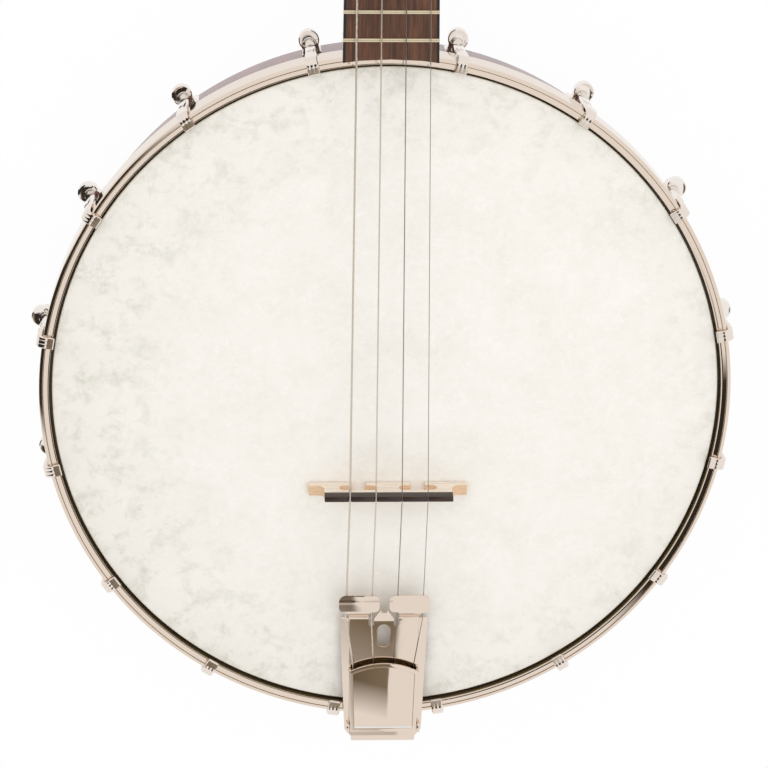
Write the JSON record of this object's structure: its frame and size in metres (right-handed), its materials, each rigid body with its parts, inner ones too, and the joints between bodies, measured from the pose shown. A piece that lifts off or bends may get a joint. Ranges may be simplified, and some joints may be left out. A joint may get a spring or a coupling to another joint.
{
  "type": "tenor banjo",
  "caption": "Open-back tenor banjo lying on its back: round pot with tensioned head, bracket hooks, hinged-cover tailpiece, bridge, fretted neck and planetary tuners.",
  "frame": {"origin": "centre of the bounding box, on the floor that the back edge of the rim rests on", "axes": "+Z out of the head, +Y along the neck to the peghead, +X to the treble side"},
  "size_m": [0.2986, 0.857, 0.0706],
  "materials": {
    "bone_nut": "polished bone",
    "coated_film": "coated off-white drumhead, faintly mottled",
    "mahogany_neck": "satin lacquer, dark reddish brown",
    "maple_bridge": "bare maple, pale tan",
    "maple_rim": "gloss lacquer, dark reddish brown",
    "nickel_bolt": "polished nickel plate",
    "nickel_cover": "polished nickel plate",
    "nickel_hook": "polished nickel plate",
    "nickel_hoop": "polished nickel plate",
    "nickel_post": "polished nickel plate",
    "nickel_shoe": "polished nickel plate",
    "nickel_tailpiece": "polished nickel plate",
    "nickel_tuner_case": "polished nickel plate",
    "pearloid_button": "cream pearloid",
    "rosewood_board": "oiled rosewood with nickel silver frets",
    "steel_pin": "plain steel",
    "steel_rod": "nickel-plated steel rod",
    "steel_string": "plain steel wire",
    "wound_string": "overwound steel wire"
  },
  "bodies": {
    "banjo": {"bridge": "maple_bridge", "coordinator_rod": "steel_rod", "fingerboard": "rosewood_board", "head": "coated_film", "hook_01": "nickel_hook", "hook_02": "nickel_hook", "hook_03": "nickel_hook", "hook_04": "nickel_hook", "hook_05": "nickel_hook", "hook_06": "nickel_hook", "hook_07": "nickel_hook", "hook_08": "nickel_hook", "hook_09": "nickel_hook", "hook_10": "nickel_hook", "hook_11": "nickel_hook", "hook_12": "nickel_hook", "hook_13": "nickel_hook", "hook_14": "nickel_hook", "hook_15": "nickel_hook", "hook_16": "nickel_hook", "neck": "mahogany_neck", "nut": "bone_nut", "rim": "maple_rim", "shoe_01": "nickel_shoe", "shoe_02": "nickel_shoe", "shoe_03": "nickel_shoe", "shoe_04": "nickel_shoe", "shoe_05": "nickel_shoe", "shoe_06": "nickel_shoe", "shoe_07": "nickel_shoe", "shoe_08": "nickel_shoe", "shoe_09": "nickel_shoe", "shoe_10": "nickel_shoe", "shoe_11": "nickel_shoe", "shoe_12": "nickel_shoe", "shoe_13": "nickel_shoe", "shoe_14": "nickel_shoe", "shoe_15": "nickel_shoe", "shoe_16": "nickel_shoe", "string_1": "wound_string", "string_2": "wound_string", "string_3": "steel_string", "string_4": "steel_string", "tail_hanger_bolt": "nickel_bolt", "tailpiece_frame": "nickel_tailpiece", "tailpiece_hinge_pin": "steel_pin", "tension_hoop": "nickel_hoop", "tuner_case_1": "nickel_tuner_case", "tuner_case_2": "nickel_tuner_case", "tuner_case_3": "nickel_tuner_case", "tuner_case_4": "nickel_tuner_case"},
    "tuner_post_1": {"tuner_post_1": "nickel_post"},
    "tuner_post_2": {"tuner_post_2": "nickel_post"},
    "tuner_post_3": {"tuner_post_3": "nickel_post"},
    "tuner_post_4": {"tuner_post_4": "nickel_post"},
    "tuner_button_1": {"tuner_button_1": "pearloid_button"},
    "tuner_button_2": {"tuner_button_2": "pearloid_button"},
    "tuner_button_3": {"tuner_button_3": "pearloid_button"},
    "tuner_button_4": {"tuner_button_4": "pearloid_button"},
    "tailpiece_cover": {"tailpiece_cover": "nickel_cover"}
  },
  "joints": [
    {"name": "button_turn_1", "type": "hinge", "parent": "banjo", "child": "tuner_button_1", "pos_m": [-0.01928, 0.32938, 0.05085], "axis": [0, 0.1219, 0.9925], "continuous": true},
    {"name": "post_turn_1", "type": "hinge", "parent": "banjo", "child": "tuner_post_1", "pos_m": [-0.01928, 0.32938, 0.05085], "axis": [0, 0.1219, 0.9925], "continuous": true},
    {"name": "button_turn_2", "type": "hinge", "parent": "banjo", "child": "tuner_button_2", "pos_m": [-0.01928, 0.38099, 0.04451], "axis": [0, 0.1219, 0.9925], "continuous": true},
    {"name": "post_turn_2", "type": "hinge", "parent": "banjo", "child": "tuner_post_2", "pos_m": [-0.01928, 0.38099, 0.04451], "axis": [0, 0.1219, 0.9925], "continuous": true},
    {"name": "button_turn_3", "type": "hinge", "parent": "banjo", "child": "tuner_button_3", "pos_m": [0.01972, 0.38099, 0.04451], "axis": [0, 0.1219, 0.9925], "continuous": true},
    {"name": "post_turn_3", "type": "hinge", "parent": "banjo", "child": "tuner_post_3", "pos_m": [0.01972, 0.38099, 0.04451], "axis": [0, 0.1219, 0.9925], "continuous": true},
    {"name": "button_turn_4", "type": "hinge", "parent": "banjo", "child": "tuner_button_4", "pos_m": [0.01972, 0.32938, 0.05085], "axis": [0, 0.1219, 0.9925], "continuous": true},
    {"name": "post_turn_4", "type": "hinge", "parent": "banjo", "child": "tuner_post_4", "pos_m": [0.01972, 0.32938, 0.05085], "axis": [0, 0.1219, 0.9925], "continuous": true},
    {"name": "cover_hinge", "type": "hinge", "parent": "banjo", "child": "tailpiece_cover", "pos_m": [0.00022, -0.41367, 0.0633], "axis": [1, 0, 0], "range_deg": [0, 100]}
  ],
  "couplings": [
    {"joint": "post_turn_1", "follows": "button_turn_1", "ratio": 0.25},
    {"joint": "post_turn_2", "follows": "button_turn_2", "ratio": 0.25},
    {"joint": "post_turn_3", "follows": "button_turn_3", "ratio": 0.25},
    {"joint": "post_turn_4", "follows": "button_turn_4", "ratio": 0.25}
  ]
}
